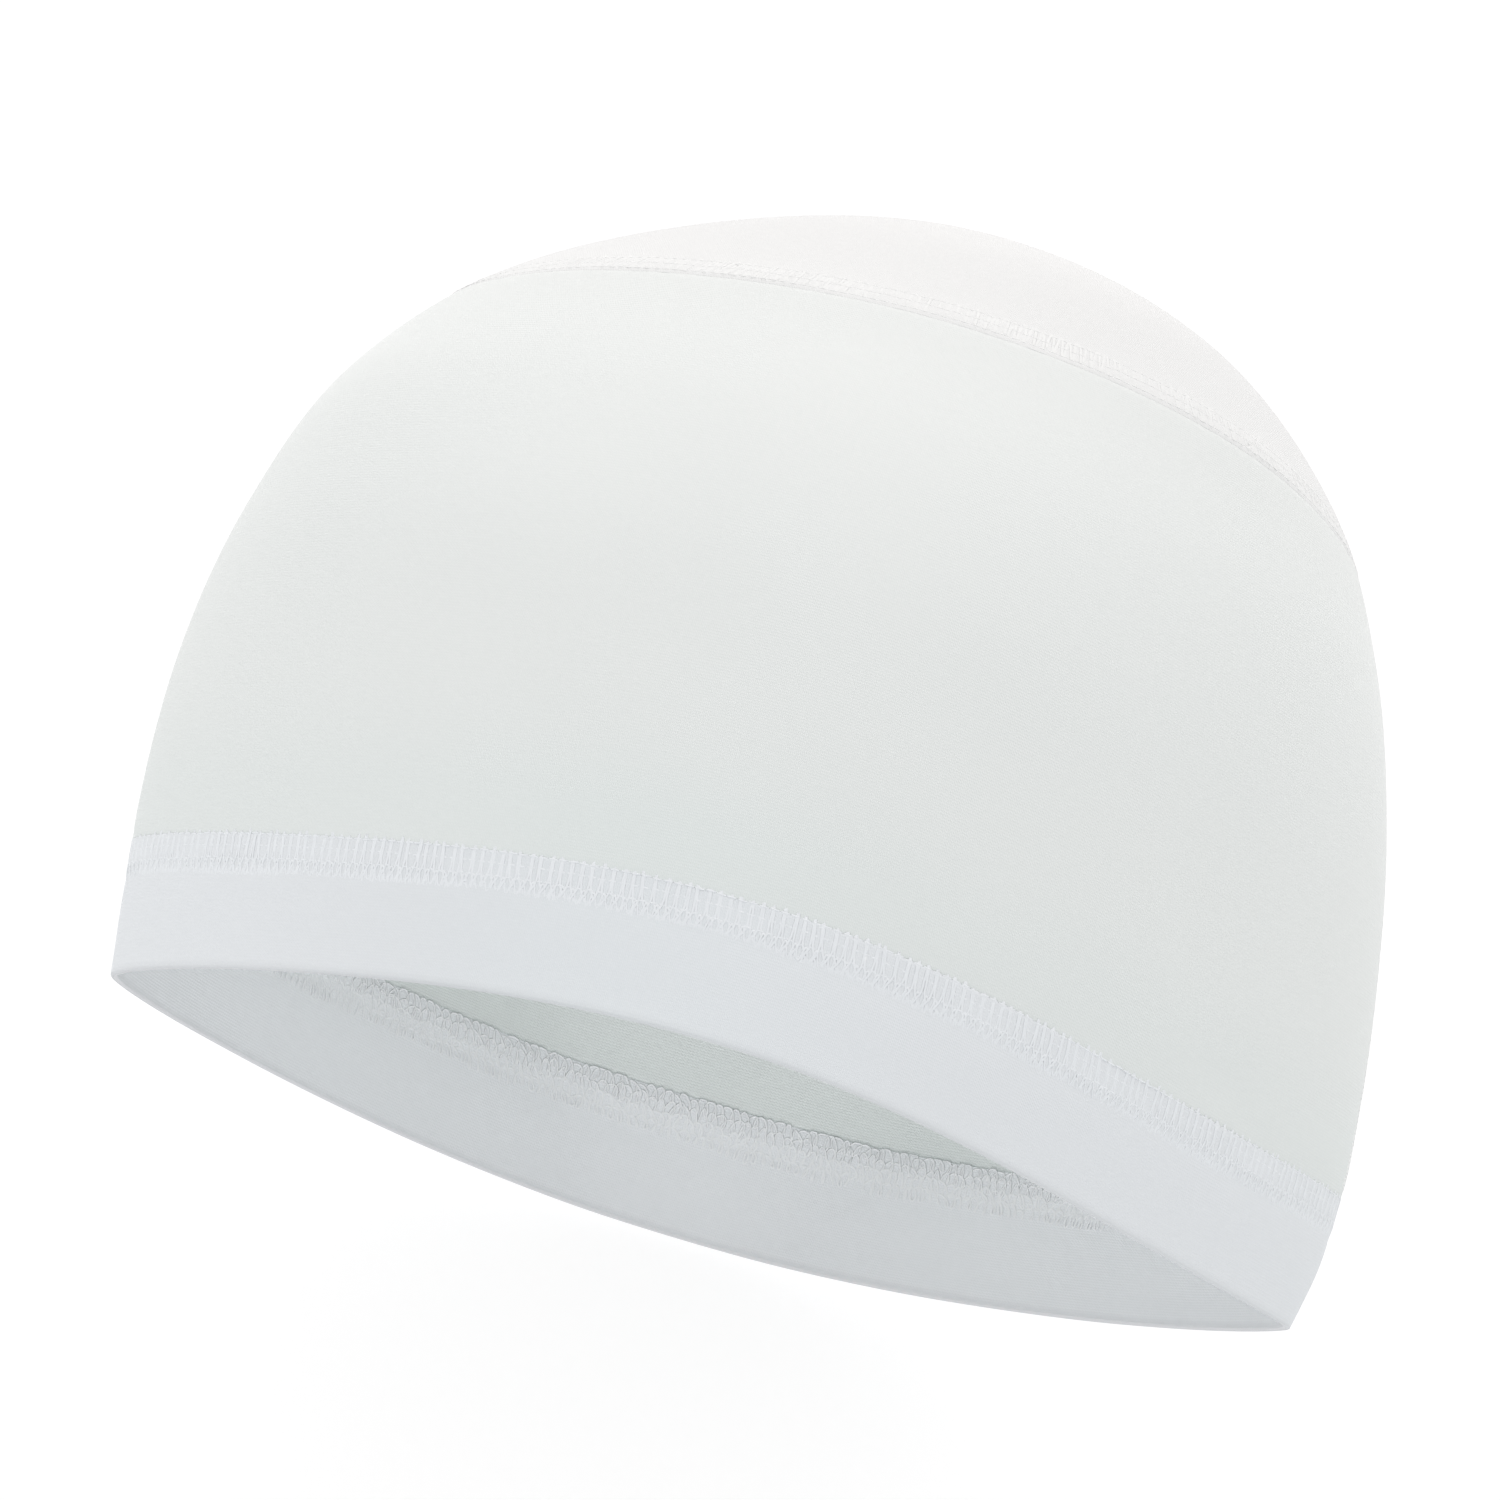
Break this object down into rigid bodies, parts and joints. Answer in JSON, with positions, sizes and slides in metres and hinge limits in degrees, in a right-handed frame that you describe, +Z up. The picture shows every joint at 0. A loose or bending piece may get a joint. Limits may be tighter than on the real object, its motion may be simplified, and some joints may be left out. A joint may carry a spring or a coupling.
{
  "type": "skull cap",
  "caption": "Close-fitting brimless cap of thin white stretch knit with an oval crown piece and a folded hem, lying on its side with its mouth open",
  "frame": {"origin": "middle of the footprint, on the surface the cap lies on, which is inside the flat patch of the side it lies on", "axes": "+Z up from the surface; X from the front of the cap at -X to its back at +X; Y from the mouth at -Y to the crown at +Y"},
  "size_m": [0.2074, 0.164, 0.1435],
  "materials": {
    "side_knit": "matt white fine jersey knit, one layer",
    "crown_knit": "matt white fine jersey knit, one layer",
    "hem_knit": "matt white fine jersey knit, folded double"
  },
  "bodies": {
    "root": {"side_panel": "side_knit", "crown_panel": "crown_knit", "hem_band": "hem_knit"}
  },
  "joints": []
}
